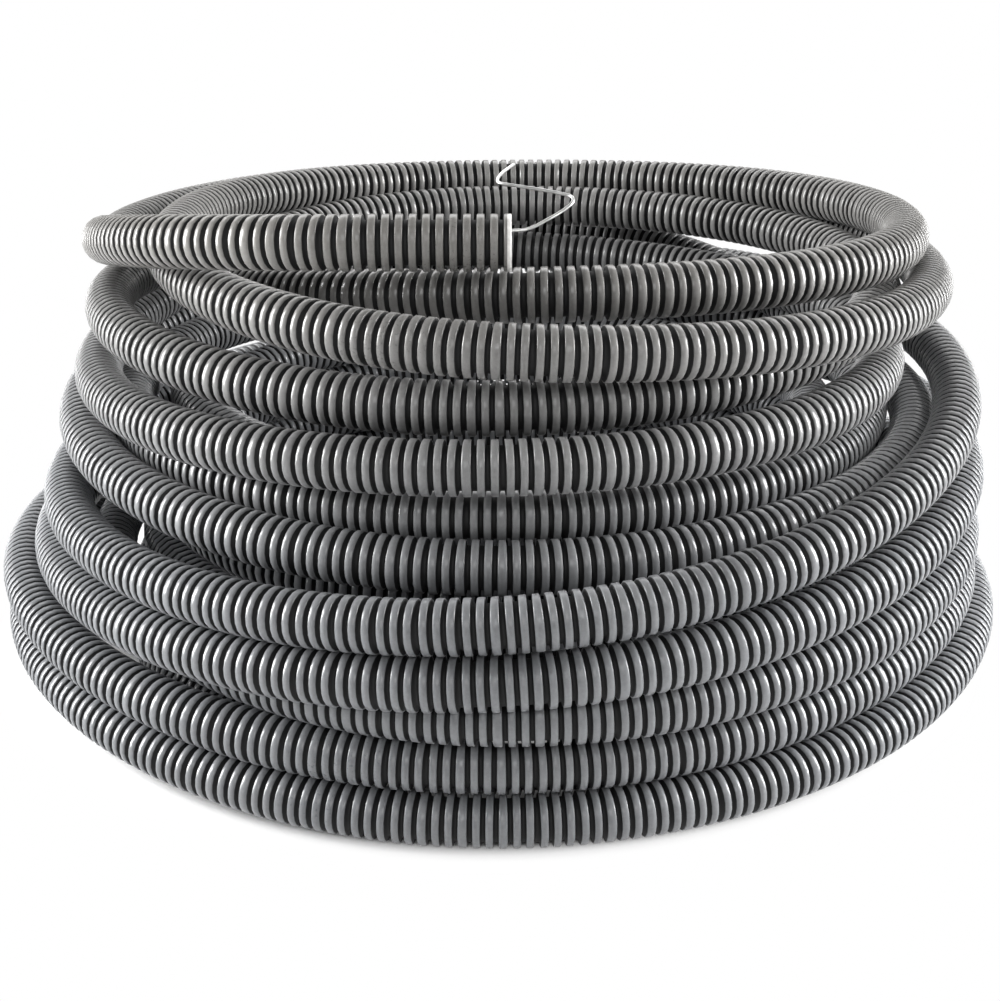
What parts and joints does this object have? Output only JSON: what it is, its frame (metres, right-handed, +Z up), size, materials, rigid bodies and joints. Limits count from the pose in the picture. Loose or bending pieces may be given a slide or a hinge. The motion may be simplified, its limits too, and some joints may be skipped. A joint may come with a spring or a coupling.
{
  "type": "corrugated conduit coil",
  "caption": "Loose coil of grey corrugated plastic conduit lying flat, with its ribbed open end at the top front and a bent steel draw wire coming out of it.",
  "frame": {"origin": "on the floor, under the middle of the coil's outer box", "axes": "+X right and -Y front as the coil is looked at, +Z up through the coil's eye"},
  "size_m": [0.447, 0.4468, 0.2287],
  "materials": {
    "conduit_plastic": "satin",
    "wire_steel": "satin"
  },
  "bodies": {
    "root": {"coil": "conduit_plastic", "free_end": "conduit_plastic", "draw_wire": "wire_steel"}
  },
  "joints": []
}
